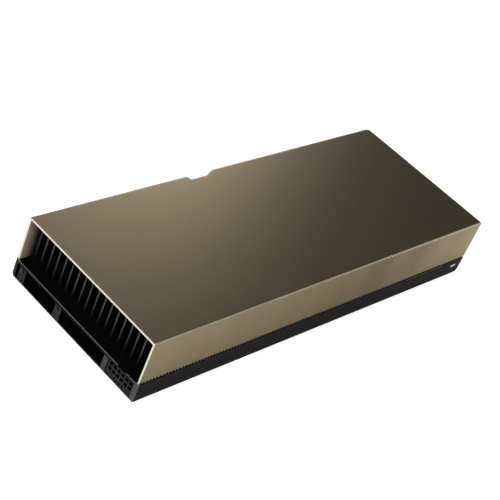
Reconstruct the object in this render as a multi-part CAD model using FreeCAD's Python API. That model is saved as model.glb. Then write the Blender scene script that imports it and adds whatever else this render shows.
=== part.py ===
import FreeCAD, Part
import math
import os

# Passive double-width accelerator card, lying on its back plate, in millimetres.
# Places are measured along the card from its air inlet end, across it from its
# long upper edge to the slot contacts, and upwards from the surface it lies on.

# Overall card
card_length = 267.7
cover_width = 98.0
edge_strip = 4.9
slot_tab_reach = 8.25
cover_top = 38.5
frame_top = 12.0
end_corner_radius = 2.2

# Fluted top cover
cover_sheet = 1.5
flute_pitch = 2.18
flute_depth = 0.75
flute_groove = 1.5
fold_chamfer = 0.9
tab_width = 12.0
tab_sheet = 1.2
tab_drop = 5.2
tab_rise = 4.0
tab_gap = 0.2
first_tab = 34.0
tab_before_notch = 16.5
tab_after_notch = 14.2
tab_step = 48.0
last_tab_from_end = 31.7

# Clearance notch for the slot's latch, in the contact side
notch_from_key = 103.05
notch_lead = 1.4
notch_floor_length = 12.4
notch_run_out = 6.5
notch_depth = 3.0
notch_wall = 1.5

# Cast frame
frame_wall = 2.5
end_wall = 2.5
shadow_gap_depth = 0.4
shadow_gap_height = 0.5
frame_end_radius = 3.8
frame_far_radius = 3.0
frame_near_radius = 1.0
contact_side_opening = 8.5

# Boxed inlet end of the frame
inlet_floor = 1.0
inlet_depth = 11.7
deck_underside = 9.6
deck_sheet = 0.8
rail_height = 11.3
rail_depth = 1.3
post_width = 4.7
post_depth = 9.0
first_post_from_side = 6.55
post_spacing = 29.2
post_hole_height = 8.0
insert_outer = 3.1
insert_bore = 2.5
insert_length = 6.0
corner_pocket_gap = 0.3
corner_pocket_width = 2.4
corner_pocket_depth = 4.0
bay_left_wall = 3.0
bay_gap = 0.3

# Screw bosses and the bracket's tapped holes
boss_size = 5.0
boss_web = 2.4
boss_top = 7.9
boss_inset = 3.1
first_boss = 22.0
boss_before_notch = 33.0
boss_after_notch = 30.2
boss_before_bridge = 4.5
last_boss_from_end = 15.7
bracket_hole_from_side = 18.0
bracket_hole_height = 7.4
bracket_hole_radius = 1.25
bracket_boss = 7.0

# Board and back plate
board_bottom = 2.4
board_sheet = 1.57
board_start = 13.2
board_gap = 0.3
board_corner = 4.0
board_step = 3.0
plate_sheet = 1.2
plate_start = 13.0

# Slot contacts
key_from_end = 57.15
tab_short_side = 12.15
tab_long_side = 72.65
key_width = 1.9
key_depth = 7.6
lead_chamfer = 1.3
contact_pitch = 1.0
contact_width = 0.7
contact_length = 5.6
contact_inset = 0.6
contact_sheet = 0.05
contacts_short = 11
contacts_long = 71
first_contact_gap = 0.55
hook_gap = 3.2
hook_width = 5.5
hook_drop = 5.0

# Bridge connector on the long upper edge
bridge_from_end = 56.4
bridge_length = 38.8
bridge_recess = 0.45
bridge_bottom = 9.4
bridge_top = 11.0
bridge_cap_sheet = 1.6
bridge_cap_gap = 0.1
bridge_contact_pitch = 1.5
bridge_contact_count = 24
bridge_contact_length = 2.4
bridge_contact_inset = 0.2

# Status lens by the far end
lens_from_end = 7.3
lens_height = 7.2
lens_length = 5.1
lens_width = 2.1
lens_reach = 2.5
lens_inset = 0.1

# Power header
header_width = 19.0
header_centre = 12.6
header_front = 0.5
header_back = 11.4
header_rear_wall = 2.4
power_pitch = 3.0
power_columns = 6
power_low_row = 4.95
power_cavity = 2.45
power_pin = 0.8
signal_pitch = 2.0
signal_count = 4
signal_row = 1.95
signal_cavity = 1.4
signal_pin = 0.5
pin_front = 3.0
low_tail_reach = 4.4
high_tail_reach = 7.4
signal_tail_reach = 3.4
latch_notch_width = 6.3
latch_notch_depth = 6.0
latch_bump_width = 1.3
latch_bump_length = 1.4
latch_bump_place = 3.0
latch_bump_rise = 0.6
latch_bump_root = 0.3

# Heatsink
fin_pitch = 5.19
fin_sheet = 0.95
fin_near_room = 6.1
last_fin_from_side = 3.62
fin_front = 7.8
fin_foot_step = 4.2
deck_clearance = 0.25
fin_back_from_end = 12.2
fin_clearance = 0.25
notch_fin_gap = 1.3
base_top = 10.0
base_sheet = 1.4
base_margin = 0.35
chamber_length = 84.0
chamber_width = 68.0
chamber_corner = 6.0

# Processor package
package_from_key = 75.55
substrate_length = 60.0
substrate_width = 54.0
substrate_sheet = 1.6
die_length = 33.0
die_width = 25.0
die_sheet = 0.8
paste_sheet = 0.1
stack_length = 11.0
stack_width = 9.0
stack_gap = 1.0
stack_spacing = 0.4
ring_width = 3.0
ring_sheet = 0.6

# Parts on the board
coil_size = 7.0
coil_height = 3.4
coil_pitch = 9.4
coil_column_reach = 61.0
coil_side_room = 13.0
coil_pad_inset = 0.5
stage_length = 5.0
stage_width = 6.0
stage_height = 0.9
stage_shift = 9.0
capacitor_length = 7.3
capacitor_width = 4.3
capacitor_height = 2.9
capacitor_pitch = 8.0
capacitor_count = 7
capacitor_from_coils = 26.0
capacitor_from_header = 8.0
controller_from_end = 39.7
controller_across = 40.0
controller_size = 14.0
controller_height = 1.3
firmware_length = 8.0
firmware_width = 6.0
firmware_height = 1.1
crystal_length = 5.0
crystal_width = 3.2
crystal_height = 0.9
small_chip_gap = 4.0

# Screws and spacers
screw_sides = 10
screw_shank = 1.0
screw_head = 1.9
screw_head_height = 0.9
screw_hole_gap = 0.15
plate_screw_length = 6.4
heatsink_screw_length = 7.6
heatsink_screw_inset = 4.0
cover_screw_end_gap = 0.2
spacer_radius = 2.4
spacer_sides = 6

# How far cutting tools run past a face
past = 1.0

# Sizes that follow from the ones above
card_height = cover_width + edge_strip + slot_tab_reach
board_shoulder = cover_width + edge_strip
half_length = card_length / 2.0
half_height = card_height / 2.0
board_top = board_bottom + board_sheet
deck_top = deck_underside + deck_sheet
base_bottom = base_top - base_sheet
substrate_top = board_top + substrate_sheet
die_top = substrate_top + die_sheet
chamber_bottom = die_top + paste_sheet
fin_top = cover_top - cover_sheet - fin_clearance
key_place = card_length - key_from_end
notch_start = key_place - notch_from_key
notch_floor_start = notch_start + notch_lead
notch_floor_end = notch_floor_start + notch_floor_length
notch_end = notch_floor_end + notch_run_out
bridge_start = card_length - bridge_from_end
bridge_end = bridge_start + bridge_length
first_post = cover_width - first_post_from_side
second_post = first_post - post_spacing
header_near = header_centre - header_width / 2.0
header_far = header_centre + header_width / 2.0
fin_foot = fin_front + fin_foot_step
fin_back = card_length - fin_back_from_end
last_fin = cover_width - last_fin_from_side
package_x = key_place - package_from_key
package_y = cover_width / 2.0
controller_x = card_length - controller_from_end
cover_screw_height = frame_top - tab_drop / 2.0
near_side = (cover_sheet, cover_sheet + tab_sheet)
far_side = (cover_width - cover_sheet - tab_sheet, cover_width - cover_sheet)
near_tabs = [
    first_tab,
    notch_start - tab_before_notch,
    notch_end + tab_after_notch,
    notch_end + tab_after_notch + tab_step,
]
far_tabs = near_tabs + [card_length - last_tab_from_end]
boss_places = [
    first_boss,
    notch_start - boss_before_notch,
    notch_end + boss_after_notch,
    bridge_start - boss_before_bridge,
    card_length - last_boss_from_end,
]
boss_rows = (frame_wall + boss_inset, cover_width - frame_wall - boss_inset)
plate_screw_points = [(place, row) for place in boss_places for row in boss_rows]
bracket_holes = (bracket_hole_from_side, cover_width - bracket_hole_from_side)


def block(x, y, z):
    """A box over three spans."""
    box = Part.makeBox(x[1] - x[0], y[1] - y[0], z[1] - z[0])
    box.translate(FreeCAD.Vector(x[0] - half_length, y[0] - half_height, z[0]))
    return box


def centred(centre, size, z):
    """A box over a centre on the board and a vertical span."""
    x_span = (centre[0] - size[0] / 2.0, centre[0] + size[0] / 2.0)
    y_span = (centre[1] - size[1] / 2.0, centre[1] + size[1] / 2.0)
    return block(x_span, y_span, z)


def rod(centre, radius, length, axis):
    """A cylinder from a point along an axis."""
    point = FreeCAD.Vector(centre[0] - half_length, centre[1] - half_height, centre[2])
    return Part.makeCylinder(radius, length, point, FreeCAD.Vector(*axis))


def faceted(centre, rings, sides, axis):
    """A many-sided turned piece: rings give distance along the axis and radius to the corners."""
    start = FreeCAD.Vector(centre[0] - half_length, centre[1] - half_height, centre[2])
    along = FreeCAD.Vector(*axis)
    across = FreeCAD.Vector(1, 0, 0) if abs(along.x) < 0.5 else FreeCAD.Vector(0, 1, 0)
    third = along.cross(across)
    loops = []
    for distance, radius in rings:
        loop = []
        for side in range(sides):
            angle = 2.0 * math.pi * (side + 0.5) / sides
            spot = across * (radius * math.cos(angle)) + third * (radius * math.sin(angle))
            loop.append(start + along * distance + spot)
        loops.append(loop)
    faces = [Part.Face(Part.makePolygon(loop + loop[:1])) for loop in (loops[0], loops[-1])]
    for lower, upper in zip(loops, loops[1:]):
        for side in range(sides):
            after = (side + 1) % sides
            corners = [lower[side], lower[after], upper[after], upper[side], lower[side]]
            faces.append(Part.Face(Part.makePolygon(corners)))
    solid = Part.Solid(Part.Shell(faces))
    if solid.Volume < 0.0:
        solid.reverse()
    return solid


def plan_prism(points, z):
    """A prism over an outline on the board plane."""
    corners = [FreeCAD.Vector(x - half_length, y - half_height, z[0]) for x, y in points]
    face = Part.Face(Part.makePolygon(corners + corners[:1]))
    return face.extrude(FreeCAD.Vector(0, 0, z[1] - z[0]))


def section_prism(points, x):
    """A prism along the card over an outline of its cross section."""
    corners = [FreeCAD.Vector(x[0] - half_length, y - half_height, z) for y, z in points]
    face = Part.Face(Part.makePolygon(corners + corners[:1]))
    return face.extrude(FreeCAD.Vector(x[1] - x[0], 0, 0))


def join(shapes):
    """One clean solid out of overlapping ones."""
    return shapes[0].fuse(shapes[1:]).removeSplitter()


def group(shapes):
    """Separate solids that share one node."""
    return Part.makeCompound(shapes)


def notch_outline(offset):
    """The latch notch in the contact side, grown by an offset, out past the cover's edge."""
    edge = cover_width + past
    slope_in = notch_lead / notch_depth * past
    slope_out = notch_run_out / notch_depth * past
    floor = cover_width - notch_depth - offset
    return [
        (notch_start - offset - slope_in, edge),
        (notch_floor_start - offset, floor),
        (notch_floor_end + offset, floor),
        (notch_end + offset + slope_out, edge),
    ]


def fluted_outline():
    """The cover's plan, with V grooves along both long sides and one cut corner at the far end."""
    count = int((card_length - 2.0 * end_corner_radius) / flute_pitch)
    start = (card_length - count * flute_pitch) / 2.0
    near = [(0.0, 0.0)]
    for index in range(count + 1):
        middle = start + index * flute_pitch
        near.append((middle - flute_groove / 2.0, 0.0))
        near.append((middle, flute_depth))
        near.append((middle + flute_groove / 2.0, 0.0))
    near = [point for point in near if point[0] < card_length - end_corner_radius]
    far = [(x, cover_width - y) for x, y in near]
    far.append((card_length - end_corner_radius, cover_width))
    far.append((card_length, cover_width - end_corner_radius))
    return near + [(card_length, 0.0)] + far[::-1]


def tab_span(place, gap):
    """Length of a cover tab along the card, grown by a gap."""
    return (place - tab_width / 2.0 - gap, place + tab_width / 2.0 + gap)


def make_top_cover():
    """Folded cover open at both ends, with inner tabs that reach into the frame."""
    body = plan_prism(fluted_outline(), (frame_top, cover_top))
    section = [
        (0.0, frame_top),
        (0.0, cover_top - fold_chamfer),
        (fold_chamfer, cover_top),
        (cover_width - fold_chamfer, cover_top),
        (cover_width, cover_top - fold_chamfer),
        (cover_width, frame_top),
    ]
    body = body.common(section_prism(section, (0.0, card_length)))
    body = body.cut(plan_prism(notch_outline(0.0), (frame_top, cover_top)))
    inside = block(
        (-past, card_length + past),
        (cover_sheet, cover_width - cover_sheet),
        (frame_top - past, cover_top - cover_sheet),
    )
    inside = inside.cut(plan_prism(notch_outline(notch_wall), (frame_top - past, cover_top)))
    body = body.cut(inside)
    height = (frame_top - tab_drop, frame_top + tab_rise)
    tabs = [block(tab_span(place, 0.0), near_side, height) for place in near_tabs]
    for place in far_tabs:
        tab = block(tab_span(place, 0.0), far_side, height)
        thread = [(0.0, screw_shank), (cover_sheet + tab_sheet + past, screw_shank)]
        tabs.append(tab.cut(faceted(cover_screw_head(place), thread, screw_sides, (0, -1, 0))))
    body = body.fuse(tabs)
    return body.removeSplitter()


def cover_screw_head(place):
    """Middle of a cover screw's head, on the outer face of the contact side."""
    return (place, cover_width, cover_screw_height)


def screw(centre, length, axis):
    """A flat head screw, its head flush at the centre."""
    rings = [(0.0, screw_head), (screw_head_height, screw_shank), (length, screw_shank)]
    return faceted(centre, rings, screw_sides, axis)


def screw_room(centre, length, axis):
    """Room for a flat head screw: its cone seats, its shank has a gap."""
    hole = screw_shank + screw_hole_gap
    seat = screw_head_height * (screw_head - hole) / (screw_head - screw_shank)
    return faceted(centre, [(0.0, screw_head), (seat, hole), (length, hole)], screw_sides, axis)


def screw_hole(point, radius, z):
    """An upright many-sided hole through a span."""
    rings = [(0.0, radius), (z[1] - z[0], radius)]
    return faceted((point[0], point[1], z[0]), rings, screw_sides, (0, 0, 1))


def rounded_profile(width, height, left_radius, right_radius):
    """Corners of an upright rectangle with its two lower corners rounded, as one closed wire."""
    def point(across, up):
        return FreeCAD.Vector(0.0, across, up)

    def arc(centre, radius, angles):
        turned = [math.radians(angle) for angle in angles]
        spots = [point(centre[0] + radius * math.cos(t), centre[1] + radius * math.sin(t)) for t in turned]
        return Part.Arc(*spots).toShape()

    edges = [
        Part.LineSegment(point(0.0, height), point(0.0, left_radius)).toShape(),
        arc((left_radius, left_radius), left_radius, (180.0, 225.0, 270.0)),
        Part.LineSegment(point(left_radius, 0.0), point(width - right_radius, 0.0)).toShape(),
        arc((width - right_radius, right_radius), right_radius, (270.0, 315.0, 360.0)),
        Part.LineSegment(point(width, right_radius), point(width, height)).toShape(),
        Part.LineSegment(point(width, height), point(0.0, height)).toShape(),
    ]
    return Part.Face(Part.Wire(edges))


def frame_shell():
    """Outer form of the frame: its cross section and its side view, both with rounded lower corners."""
    across = rounded_profile(cover_width, frame_top, frame_near_radius, frame_far_radius)
    body = across.extrude(FreeCAD.Vector(card_length, 0, 0))
    body.translate(FreeCAD.Vector(-half_length, -half_height, 0))
    along = rounded_profile(card_length, frame_top, frame_near_radius, frame_end_radius)
    side = along.extrude(FreeCAD.Vector(cover_width, 0, 0))
    side.rotate(FreeCAD.Vector(0, 0, 0), FreeCAD.Vector(0, 0, 1), -90)
    side.translate(FreeCAD.Vector(-half_length, cover_width - half_height, 0))
    return body.common(side)


def make_base_frame():
    """Cast frame: long walls, boxed inlet end, far end wall and screw bosses."""
    full = (-past, frame_top + past)
    inner = (frame_wall, cover_width - frame_wall)
    middle = block((inlet_depth, card_length - end_wall), inner, full)
    middle = middle.cut(plan_prism(notch_outline(frame_wall), full))
    body = frame_shell().cut(middle)
    body = body.cut(plan_prism(notch_outline(0.0), full))
    body = body.cut(block(
        (plate_start, card_length - end_wall),
        (cover_width - contact_side_opening, cover_width + past),
        (-past, board_top),
    ))
    body = hollow_inlet(body)
    body = add_bosses(body)
    body = cut_tab_pockets(body)

    # Shadow gap below the cover, bridge recess and lens hole
    gap = (frame_top - shadow_gap_height, frame_top + past)
    length = (rail_depth, card_length - past)
    body = body.cut(block(length, (-past, shadow_gap_depth), gap))
    body = body.cut(block(length, (cover_width - shadow_gap_depth, cover_width + past), gap))
    recess = (-past, frame_wall + past)
    body = body.cut(block((bridge_start, bridge_end), recess, (bridge_bottom, bridge_top)))
    body = body.cut(lens_body(-past, frame_wall + past))
    return body.removeSplitter()


def hollow_inlet(body):
    """Opens the inlet end: space over the deck, windows, header bay, posts, pocket and latch notch."""
    inner = (frame_wall, cover_width - frame_wall)
    body = body.cut(block((rail_depth, inlet_depth + past), inner, (deck_top, frame_top + past)))
    body = body.cut(block((-past, rail_depth + past), inner, (rail_height, frame_top + past)))
    under = (inlet_floor, deck_underside)
    half_post = post_width / 2.0
    bay_far = header_far + bay_gap
    openings = [
        (second_post + half_post, first_post - half_post),
        (bay_far + bay_left_wall, second_post - half_post),
        (header_near - bay_gap, bay_far),
    ]
    for opening in openings:
        body = body.cut(block((-past, inlet_depth + past), opening, under))
    for post in (first_post, second_post):
        behind = (post - half_post, post + half_post)
        body = body.cut(block((post_depth, inlet_depth + past), behind, under))
        start = (-past, post, post_hole_height)
        body = body.cut(rod(start, insert_outer / 2.0, insert_length + past, (1, 0, 0)))
    pocket_start = first_post + half_post + corner_pocket_gap
    pocket = (pocket_start, pocket_start + corner_pocket_width)
    body = body.cut(block((-past, corner_pocket_depth), pocket, under))
    half_notch = latch_notch_width / 2.0
    notch = (header_centre - half_notch, header_centre + half_notch)
    return body.cut(block((-past, latch_notch_depth), notch, (deck_underside - past, frame_top)))


def add_bosses(body):
    """Blocks for the back plate's screws, webbed to the walls, and for the bracket's screws."""
    extras = []
    height = (board_top, boss_top)
    for place, row in plate_screw_points:
        extras.append(centred((place, row), (boss_size, boss_size), height))
        wall = frame_wall / 2.0 if row < cover_width / 2.0 else cover_width - frame_wall / 2.0
        web = (min(row, wall), max(row, wall))
        extras.append(block((place - boss_web / 2.0, place + boss_web / 2.0), web, height))
    inward = card_length - end_wall - bracket_boss
    for hole in bracket_holes:
        across = (hole - bracket_boss / 2.0, hole + bracket_boss / 2.0)
        extras.append(block((inward, card_length - end_wall / 2.0), across, (board_top, frame_top)))
    body = body.fuse(extras)
    for point in plate_screw_points:
        body = body.cut(screw_hole(point, screw_shank, (board_top, boss_top + past)))
    for hole in bracket_holes:
        start = (card_length - bracket_boss, hole, bracket_hole_height)
        body = body.cut(rod(start, bracket_hole_radius, bracket_boss + past, (1, 0, 0)))
    return body


def cut_tab_pockets(body):
    """Pockets for the cover's tabs, and the countersunk holes of its screws."""
    height = (frame_top - tab_drop - tab_gap, frame_top + past)
    for place in near_tabs:
        across = (near_side[0] - tab_gap / 2.0, frame_wall + past)
        body = body.cut(block(tab_span(place, tab_gap), across, height))
    for place in far_tabs:
        across = (cover_width - frame_wall - past, far_side[1] + tab_gap / 2.0)
        body = body.cut(block(tab_span(place, tab_gap), across, height))
        body = body.cut(screw_room(cover_screw_head(place), frame_wall + past, (0, -1, 0)))
    return body


def make_bridge_cover():
    """Snap-in cap over the bridge contacts, set back a little from the wall's face."""
    return block(
        (bridge_start + bridge_cap_gap, bridge_end - bridge_cap_gap),
        (bridge_recess, bridge_recess + bridge_cap_sheet),
        (bridge_bottom, bridge_top),
    )


def lens_body(front, back):
    """A round-ended bar across the near wall."""
    middle = card_length - lens_from_end
    half = (lens_length - lens_width) / 2.0
    radius = lens_width / 2.0
    span = (lens_height - radius, lens_height + radius)
    pieces = [block((middle - half, middle + half), (front, back), span)]
    for side in (-half, half):
        pieces.append(rod((middle + side, front, lens_height), radius, back - front, (0, 1, 0)))
    return join(pieces)


def make_status_lens():
    """Light guide of the status lamp, seated in the near wall."""
    return lens_body(lens_inset, frame_wall + lens_reach)


def board_outline():
    """The board's plan: body, contact tab with its key, and the latch hook."""
    near = frame_wall + board_gap
    inside = cover_width - frame_wall - board_gap
    end = card_length - end_wall - board_gap
    tab_near_end = key_place + tab_short_side
    tab_far_end = key_place - tab_long_side
    hook_end = tab_far_end - hook_gap
    hook_start = hook_end - hook_width
    half_key = key_width / 2.0
    step = board_start + board_step
    return [
        (board_start, near),
        (end, near),
        (end, board_shoulder),
        (tab_near_end, board_shoulder),
        (tab_near_end, card_height - lead_chamfer),
        (tab_near_end - lead_chamfer, card_height),
        (key_place + half_key, card_height),
        (key_place + half_key, card_height - key_depth),
        (key_place - half_key, card_height - key_depth),
        (key_place - half_key, card_height),
        (tab_far_end + lead_chamfer, card_height),
        (tab_far_end, card_height - lead_chamfer),
        (tab_far_end, board_shoulder),
        (hook_end, board_shoulder),
        (hook_end, board_shoulder + hook_drop),
        (hook_start, board_shoulder + hook_drop),
        (hook_start, board_shoulder),
        (step + board_corner, board_shoulder),
        (step, board_shoulder - board_corner),
        (step, inside),
        (board_start, inside),
    ]


def heatsink_screw_points():
    """The four screws round the processor."""
    reach_x = chamber_length / 2.0 - heatsink_screw_inset
    reach_y = chamber_width / 2.0 - heatsink_screw_inset
    return [(package_x + x, package_y + y) for x in (-reach_x, reach_x) for y in (-reach_y, reach_y)]


def make_circuit_board():
    """Bare board with its screw holes."""
    board = plan_prism(board_outline(), (board_bottom, board_top))
    span = (board_bottom - past, board_top + past)
    for point in plate_screw_points + heatsink_screw_points():
        board = board.cut(screw_hole(point, screw_shank + screw_hole_gap, span))
    return board


def make_edge_contacts():
    """Plated contacts on both faces of the slot tab."""
    far = card_height - contact_inset
    across = (far - contact_length, far)
    clear = key_width / 2.0 + first_contact_gap
    places = [key_place + clear + index * contact_pitch for index in range(contacts_short)]
    places += [key_place - clear - index * contact_pitch for index in range(contacts_long)]
    pads = []
    for place in places:
        along = (place - contact_width / 2.0, place + contact_width / 2.0)
        pads.append(block(along, across, (board_top, board_top + contact_sheet)))
        pads.append(block(along, across, (board_bottom - contact_sheet, board_bottom)))
    return group(pads)


def make_bridge_contacts():
    """Plated contacts on the board's long upper edge, behind the bridge cap."""
    near = frame_wall + board_gap + bridge_contact_inset
    middle = bridge_start + bridge_length / 2.0
    first = middle - (bridge_contact_count - 1) * bridge_contact_pitch / 2.0
    pads = []
    for index in range(bridge_contact_count):
        place = first + index * bridge_contact_pitch
        along = (place - contact_width / 2.0, place + contact_width / 2.0)
        across = (near, near + bridge_contact_length)
        pads.append(block(along, across, (board_top, board_top + contact_sheet)))
    return group(pads)


def make_back_plate():
    """Flat plate under the board, let in between the frame's walls."""
    plate = block(
        (plate_start, card_length - end_wall - board_gap),
        (frame_wall + board_gap, cover_width - board_gap),
        (0.0, plate_sheet),
    )
    plate = plate.cut(plan_prism(notch_outline(board_gap), (-past, plate_sheet + past)))
    for x, y in plate_screw_points + heatsink_screw_points():
        plate = plate.cut(screw_room((x, y, 0.0), plate_sheet + past, (0, 0, 1)))
    return plate


def make_back_plate_screws():
    """Flat head screws that clamp plate and board to the frame's bosses."""
    return group([screw((x, y, 0.0), plate_screw_length, (0, 0, 1)) for x, y in plate_screw_points])


def make_board_standoffs():
    """Six-sided spacers between plate and board, one at each screw."""
    spacers = []
    rings = [(0.0, spacer_radius), (board_bottom - plate_sheet, spacer_radius)]
    for x, y in plate_screw_points:
        body = faceted((x, y, plate_sheet), rings, spacer_sides, (0, 0, 1))
        bore = screw_hole((x, y), screw_shank + screw_hole_gap, (plate_sheet - past, board_top))
        spacers.append(body.cut(bore))
    return group(spacers)


def make_heatsink_screws():
    """Screws through plate and board into the vapour chamber."""
    points = heatsink_screw_points()
    return group([screw((x, y, 0.0), heatsink_screw_length, (0, 0, 1)) for x, y in points])


def make_cover_screws():
    """Screws through the frame's contact side wall into the cover's tabs."""
    length = cover_sheet + tab_sheet - cover_screw_end_gap
    return group([screw(cover_screw_head(place), length, (0, -1, 0)) for place in far_tabs])


def make_post_inserts():
    """Threaded inserts in the two posts at the inlet end."""
    inserts = []
    for post in (first_post, second_post):
        outer = rod((0.0, post, post_hole_height), insert_outer / 2.0, insert_length, (1, 0, 0))
        start = (-past, post, post_hole_height)
        bore = rod(start, insert_bore / 2.0, insert_length + 2.0 * past, (1, 0, 0))
        inserts.append(outer.cut(bore))
    return group(inserts)


def power_points():
    """Across and height of each power contact."""
    first = header_centre - (power_columns - 1) * power_pitch / 2.0
    rows = (power_low_row, power_low_row + power_pitch)
    return [(first + column * power_pitch, row) for row in rows for column in range(power_columns)]


def signal_points():
    """Across and height of each signal contact."""
    first = header_centre - (signal_count - 1) * signal_pitch / 2.0
    return [(first + index * signal_pitch, signal_row) for index in range(signal_count)]


def square_bar(x, point, size):
    """A square bar along the card, round a point given across and upwards."""
    half = size / 2.0
    return block(x, (point[0] - half, point[0] + half), (point[1] - half, point[1] + half))


def make_power_header():
    """Moulded header: two rows of power cavities over one row of signal cavities."""
    body = block((header_front, header_back), (header_near, header_far), (inlet_floor, deck_underside))
    cavity = (header_front - past, header_back - header_rear_wall)
    through = (header_front, header_back + past)
    for points, opening, pin in (
        (power_points(), power_cavity, power_pin),
        (signal_points(), signal_cavity, signal_pin),
    ):
        for point in points:
            body = body.cut(square_bar(cavity, point, opening))
            body = body.cut(square_bar(through, point, pin))
    half_bump = latch_bump_width / 2.0
    bump = block(
        (latch_bump_place, latch_bump_place + latch_bump_length),
        (header_centre - half_bump, header_centre + half_bump),
        (deck_underside - latch_bump_root, deck_underside + latch_bump_rise),
    )
    return join([body, bump])


def bent_pin(point, size, reach, target):
    """A square pin straight back through the header, then turned to the board."""
    end = header_back + reach
    half = size / 2.0
    straight = square_bar((pin_front, end), point, size)
    across = (point[0] - half, point[0] + half)
    heights = (min(target, point[1] - half), max(target, point[1] + half))
    return join([straight, block((end - size, end), across, heights)])


def make_power_pins():
    """Twelve power pins, the upper row reaching further over the board."""
    pins = []
    for point in power_points():
        reach = low_tail_reach if point[1] == power_low_row else high_tail_reach
        pins.append(bent_pin(point, power_pin, reach, board_top))
    return group(pins)


def make_signal_pins():
    """Four signal pins that turn up to the board's underside."""
    return group([bent_pin(point, signal_pin, signal_tail_reach, board_bottom) for point in signal_points()])


def on_package(size, z):
    """A box over the middle of the processor package."""
    return centred((package_x, package_y), size, z)


def make_processor_substrate():
    """Carrier of the processor and its memory."""
    return on_package((substrate_length, substrate_width), (board_top, substrate_top))


def make_package_ring():
    """Stiffening ring round the substrate's edge."""
    span = (substrate_top, substrate_top + ring_sheet)
    outer = on_package((substrate_length, substrate_width), span)
    inner = (substrate_length - 2.0 * ring_width, substrate_width - 2.0 * ring_width)
    return outer.cut(on_package(inner, span))


def make_processor_die():
    """Bare processor die."""
    return on_package((die_width, die_length), (substrate_top, die_top))


def make_memory_stacks():
    """Six memory stacks, three along each side of the die."""
    reach = die_width / 2.0 + stack_gap + stack_width / 2.0
    step = stack_length + stack_spacing
    stacks = []
    for x in (package_x - reach, package_x + reach):
        for row in (-1, 0, 1):
            middle = (x, package_y + row * step)
            stacks.append(centred(middle, (stack_width, stack_length), (substrate_top, die_top)))
    return group(stacks)


def make_thermal_paste():
    """Paste layer between the bare chips and the vapour chamber."""
    length = die_width + 2.0 * (stack_gap + stack_width)
    width = 3.0 * stack_length + 2.0 * stack_spacing
    return on_package((length, width), (die_top, chamber_bottom))


def make_vapour_chamber():
    """Copper chamber over the package, tapped for its four screws."""
    body = on_package((chamber_length, chamber_width), (chamber_bottom, base_bottom))
    height = base_bottom - chamber_bottom
    uprights = [edge for edge in body.Edges if abs(edge.BoundBox.ZLength - height) < 0.01]
    body = body.makeFillet(chamber_corner, uprights)
    for point in heatsink_screw_points():
        body = body.cut(screw_hole(point, screw_shank, (0.0, heatsink_screw_length)))
    return body


def fin_places():
    """Middle of each fin across the card, from the near side to the contact side."""
    steps = int((last_fin - fin_near_room) / fin_pitch)
    return [last_fin - index * fin_pitch for index in range(steps, -1, -1)]


def make_heatsink_base():
    """Base sheet that carries the fins, notched like the cover."""
    reach = fin_sheet / 2.0 + base_margin
    across = (fin_places()[0] - reach, last_fin + reach)
    base = block((fin_foot, fin_back), across, (base_bottom, base_top))
    return base.cut(plan_prism(notch_outline(notch_wall + notch_fin_gap), (0.0, cover_top)))


def make_fin_stack():
    """Upright fins, their feet stepped back from the deck; one stops on either side of the notch."""
    room = notch_wall + notch_fin_gap
    fins = []
    for place in fin_places():
        across = (place - fin_sheet / 2.0, place + fin_sheet / 2.0)
        lengths = [(fin_front, fin_back)]
        if across[1] > cover_width - notch_depth - room:
            lengths = [(fin_front, notch_start - room), (notch_end + room, fin_back)]
        for length in lengths:
            fin = block(length, across, (base_top, fin_top))
            step = block((fin_front - past, fin_foot), across, (base_top - past, deck_top + deck_clearance))
            fins.append(fin.cut(step))
    return group(fins)


def coil_points():
    """Places of the power coils: a column on either side of the processor."""
    steps = int((cover_width - 2.0 * coil_side_room) / coil_pitch)
    first = package_y - steps * coil_pitch / 2.0
    columns = (package_x - coil_column_reach, package_x + coil_column_reach)
    return [(x, first + index * coil_pitch) for x in columns for index in range(steps + 1)]


def make_power_coils():
    """Moulded coils of the supply phases."""
    span = (board_top, board_top + coil_height)
    return group([centred(point, (coil_size, coil_size), span) for point in coil_points()])


def make_coil_pads():
    """Soft pads that carry the coils' heat to the base."""
    span = (board_top + coil_height, base_bottom)
    side = coil_size - 2.0 * coil_pad_inset
    return group([centred(point, (side, side), span) for point in coil_points()])


def make_power_stages():
    """Switching stages beside the coils, towards the processor."""
    span = (board_top, board_top + stage_height)
    stages = []
    for x, y in coil_points():
        shift = stage_shift if x < package_x else -stage_shift
        stages.append(centred((x + shift, y), (stage_length, stage_width), span))
    return group(stages)


def make_input_capacitors():
    """Moulded capacitors between the power header and the coils."""
    x = package_x - coil_column_reach - capacitor_from_coils
    first = header_far + capacitor_from_header
    span = (board_top, board_top + capacitor_height)
    size = (capacitor_length, capacitor_width)
    return group([
        centred((x, first + index * capacitor_pitch), size, span) for index in range(capacitor_count)
    ])


def make_controller_chip():
    """Board management controller."""
    span = (board_top, board_top + controller_height)
    return centred((controller_x, controller_across), (controller_size, controller_size), span)


def beside_controller(side, size, height):
    """A small chip beside the controller, towards one side of the card."""
    across = controller_across + side * (controller_size / 2.0 + small_chip_gap + size[1] / 2.0)
    return centred((controller_x, across), size, (board_top, board_top + height))


def make_firmware_chip():
    """Firmware memory next to the controller."""
    return beside_controller(1.0, (firmware_length, firmware_width), firmware_height)


def make_clock_crystal():
    """Clock crystal in its can, next to the controller."""
    return beside_controller(-1.0, (crystal_length, crystal_width), crystal_height)


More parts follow.
